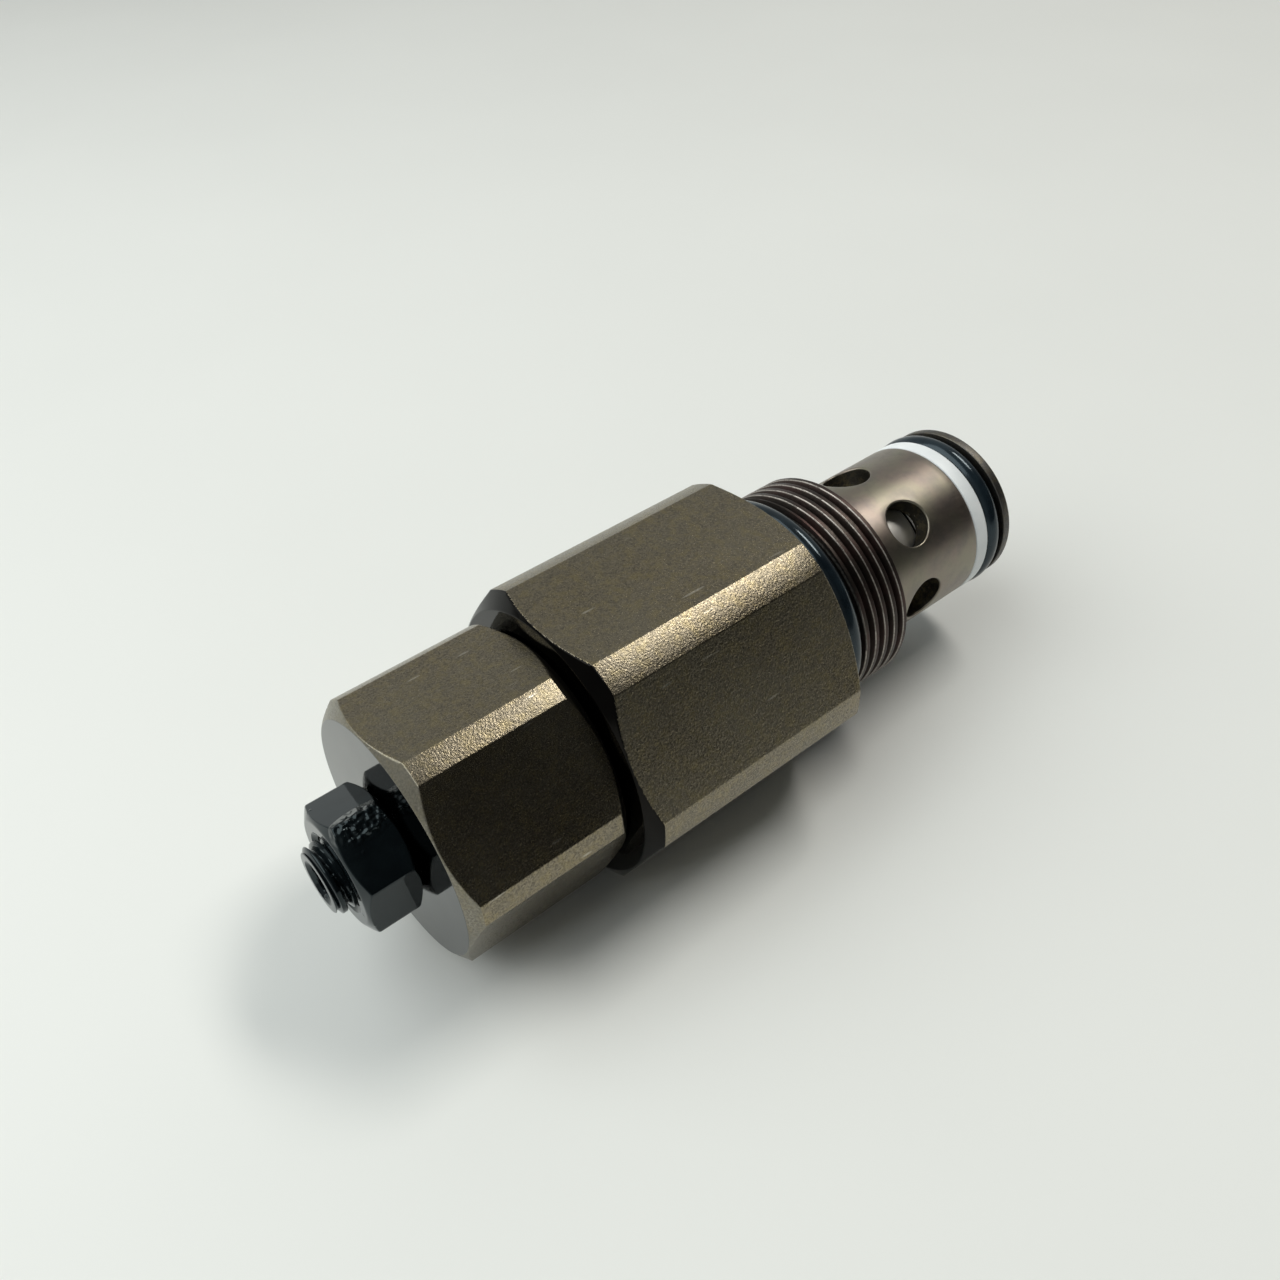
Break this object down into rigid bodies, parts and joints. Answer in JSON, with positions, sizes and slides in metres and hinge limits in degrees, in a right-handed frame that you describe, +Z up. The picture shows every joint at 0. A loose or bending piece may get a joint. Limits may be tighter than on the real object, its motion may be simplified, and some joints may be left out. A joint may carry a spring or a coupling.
{
  "type": "hydraulic relief cartridge valve",
  "caption": "Pilot-operated hydraulic relief cartridge valve with a hexagonal body, hexagonal adjuster cap, lock nut and ported nose sleeve.",
  "frame": {"origin": "centre of the bounding box's bottom face, under the middle of the valve's length", "axes": "+X along the valve's axis towards the nose, +Z up, lying on one flat of the large hexagon"},
  "size_m": [0.119, 0.045, 0.041],
  "materials": {
    "phosphated_steel": "bronze-brown phosphate over turned steel, satin with a fine grain",
    "black_lacquered_steel": "thick glossy black lacquer with a slightly wrinkled surface",
    "ground_steel": "hardened and ground, bright",
    "spring_steel": "drawn and shot-peened",
    "plug_brass": "machined",
    "nitrile_rubber": "oiled black rubber",
    "ptfe": "smooth white PTFE"
  },
  "bodies": {
    "housing": {"hex_body": "phosphated_steel", "adjuster_cap": "phosphated_steel", "nose_sleeve": "phosphated_steel", "pilot_seat": "ground_steel", "pilot_spring": "spring_steel", "main_spring": "spring_steel", "base_o_ring": "nitrile_rubber", "nose_o_ring": "nitrile_rubber", "nose_backup_ring": "ptfe", "cap_o_ring": "nitrile_rubber", "sleeve_o_ring": "nitrile_rubber", "pilot_seat_o_ring": "nitrile_rubber", "pilot_seat_backup_ring": "ptfe"},
    "main_stage": {"main_poppet": "ground_steel", "orifice_plug": "plug_brass"},
    "pilot_stage": {"pilot_poppet": "ground_steel"},
    "adjuster_carriage": {"spring_seat": "ground_steel", "pilot_spring_shim": "ground_steel", "spring_seat_o_ring": "nitrile_rubber", "spring_seat_backup_ring": "ptfe"},
    "screw": {"adjusting_screw": "black_lacquered_steel"},
    "nut": {"lock_nut": "black_lacquered_steel"}
  },
  "joints": [
    {"name": "main_poppet_lift", "type": "slide", "parent": "housing", "child": "main_stage", "axis": [-1, 0, 0], "range_m": [0, 0.0035], "stiffness_N_per_m": 2000, "springref_m": -0.004, "deforming": ["main_spring"]},
    {"name": "pilot_poppet_lift", "type": "slide", "parent": "housing", "child": "pilot_stage", "axis": [-1, 0, 0], "range_m": [0, 0.001], "stiffness_N_per_m": 3000, "springref_m": -0.003, "deforming": ["pilot_spring"]},
    {"name": "pressure_adjustment", "type": "slide", "parent": "housing", "child": "adjuster_carriage", "axis": [1, 0, 0], "range_m": [-0.0005, 0.0015], "deforming": ["pilot_spring"]},
    {"name": "adjusting_screw_turn", "type": "hinge", "parent": "adjuster_carriage", "child": "screw", "pos_m": [-0.045, 0, 0.0205], "axis": [1, 0, 0], "range_deg": [-120, 360]},
    {"name": "lock_nut_turn", "type": "hinge", "parent": "housing", "child": "nut", "pos_m": [-0.05315, 0, 0.0205], "axis": [1, 0, 0], "range_deg": [-360, 0]}
  ],
  "couplings": [
    {"joint": "adjusting_screw_turn", "follows": "pressure_adjustment", "rad_per_m": 4188.8}
  ]
}
